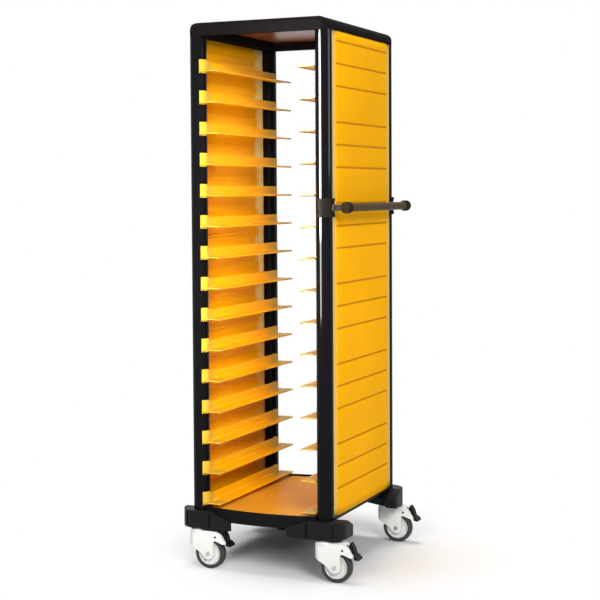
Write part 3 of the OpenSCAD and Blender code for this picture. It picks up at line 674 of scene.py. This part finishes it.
# ---- Floor, light and camera ----
# A plain pale floor that fades into a white background, soft boxes round the cart, and the
# camera at the photograph's viewing angle.

WHITE = (1, 1, 1, 1)
FLOOR_SIZE = 60.0
FLOOR_PALE = (0.86, 0.86, 0.86)
FLOOR_ROUGH = 0.9
FLOOR_SPECULAR = 0.1
SHADOW_PLACE = (0.10, 0.14, 0.0)
SHADOW_FADE = (0.34, 0.76)
WORLD_LIGHT = 0.11
CAMERA_PLACE = (1.98478, -4.52028, 1.28956)
CAMERA_YAW = 0.41551552
CAMERA_PITCH = 0.04450491
CAMERA_ROLL = -0.00561748
CAMERA_SENSOR = 36
CAMERA_LENS = 84.28
CAMERA_SHIFT = (-0.0005, -0.0792)


def seen_not_lighting(tree):
    """1 for a ray from the camera, a glossy face or glass, and 0 for one that only lights."""
    ray = add_node(tree, "ShaderNodeLightPath").outputs
    seen = calculate(tree, "MAXIMUM", ray["Is Camera Ray"], ray["Is Glossy Ray"])
    return calculate(tree, "MAXIMUM", seen, ray["Is Transmission Ray"])


def build_floor():
    """A flat square of floor; its material is a lit pale surface near the cart, and turns plain
    white over the distances SHADOW_FADE from the middle of the shadow."""
    half = FLOOR_SIZE / 2
    mesh = bpy.data.meshes.new("floor")
    corners = [(-half, -half, 0), (half, -half, 0), (half, half, 0), (-half, half, 0)]
    mesh.from_pydata(corners, [], [(0, 1, 2, 3)])
    material, tree, shader = new_material("floor_pale")
    shader.inputs["Base Color"].default_value = (*FLOOR_PALE, 1)
    shader.inputs["Roughness"].default_value = FLOOR_ROUGH
    shader.inputs["Specular IOR Level"].default_value = FLOOR_SPECULAR
    place = add_node(tree, "ShaderNodeTexCoord").outputs["Object"]
    distance = add_node(tree, "ShaderNodeVectorMath", [(0, place), (1, SHADOW_PLACE)],
                        operation="DISTANCE")
    far = rescale(tree, distance.outputs["Value"], SHADOW_FADE, way="SMOOTHSTEP")
    share = calculate(tree, "MULTIPLY", far, seen_not_lighting(tree))
    white = add_node(tree, "ShaderNodeEmission", [("Color", WHITE), ("Strength", 1.0)])
    mix = add_node(tree, "ShaderNodeMixShader", [(0, share), (1, shader.outputs[0]),
                                                 (2, white.outputs[0])])
    tree.links.new(mix.outputs[0], tree.nodes["Material Output"].inputs["Surface"])
    mesh.materials.append(material)
    floor = new_object("floor", mesh)


def build_world():
    """Soft grey-white light from everywhere, seen as plain white by the camera and in
    reflections."""
    world = bpy.data.worlds.new("studio")
    world.use_nodes = True
    tree = world.node_tree
    background = tree.nodes["Background"]
    strength = rescale(tree, seen_not_lighting(tree), wanted=(WORLD_LIGHT, 1.0))
    tree.links.new(strength, background.inputs["Strength"])
    background.inputs["Color"].default_value = WHITE
    bpy.context.scene.world = world


def soft_box(name, place, aim, size, watts, spread=180, lights_matte=True, shows_in_gloss=True):
    """A rectangular lamp at place that faces aim, its beam spread degrees wide; one that lights
    no matte surface only shines in gloss, and one that does not show in gloss only lights."""
    lamp = bpy.data.lights.new(name, "AREA")
    lamp.shape = "RECTANGLE"
    lamp.size, lamp.size_y = size
    lamp.energy = watts
    lamp.spread = math.radians(spread)
    box = new_object(name, lamp)
    direction = np.subtract(aim, place)
    heading = math.atan2(direction[1], direction[0])
    tilt = math.atan2(direction[2], math.hypot(direction[0], direction[1]))
    box.location = place
    box.rotation_euler = (math.pi / 2 + tilt, 0, heading - math.pi / 2)
    box.visible_camera = False
    box.visible_diffuse = lights_matte
    box.visible_glossy = shows_in_gloss


build_floor()
build_world()
soft_box("strip_light", place=(-0.17, -1.09, 1.50), aim=(0.346, -0.353, 1.50), size=(0.55, 0.8),
         watts=42, spread=42, lights_matte=False)
soft_box("low_strip", place=(-0.17, -1.09, 0.94), aim=(0.346, -0.353, 0.94), size=(0.45, 0.3),
         watts=2.8, spread=42, lights_matte=False)
soft_box("side_strip", place=(2.2, -0.05, 1.9), aim=(0.2, -0.28, 1.6), size=(0.9, 1.1),
         watts=45, lights_matte=False)
soft_box("key_light", place=(2.9, -3.2, 2.9), aim=(0.0, 0.0, 0.9), size=(1.6, 1.6),
         watts=174, shows_in_gloss=False)
soft_box("front_light", place=(0.20, -1.5, 1.35), aim=(-0.25, 0.05, 1.05), size=(0.35, 1.3),
         watts=9, spread=70, shows_in_gloss=False)
soft_box("top_light", place=(-0.3, 0.3, 6.5), aim=(0.0, 0.0, 0.0), size=(3.0, 3.0), watts=340)

camera = new_object("camera", bpy.data.cameras.new("camera"))
camera.data.sensor_width = CAMERA_SENSOR
camera.data.lens = CAMERA_LENS
camera.data.shift_x, camera.data.shift_y = CAMERA_SHIFT
camera.location = CAMERA_PLACE
level = math.cos(CAMERA_PITCH)
forward = np.array((-math.sin(CAMERA_YAW) * level, math.cos(CAMERA_YAW) * level,
                    -math.sin(CAMERA_PITCH)))
right = np.array((math.cos(CAMERA_YAW), math.sin(CAMERA_YAW), 0.0))
up = np.cross(right, forward)
across = math.cos(CAMERA_ROLL) * right + math.sin(CAMERA_ROLL) * up
upward = math.cos(CAMERA_ROLL) * up - math.sin(CAMERA_ROLL) * right
turn = Matrix(np.column_stack((across, upward, -forward)).tolist())
camera.rotation_mode = "QUATERNION"
camera.rotation_quaternion = turn.to_quaternion()
bpy.context.scene.camera = camera
bpy.context.scene.view_settings.view_transform = "Standard"
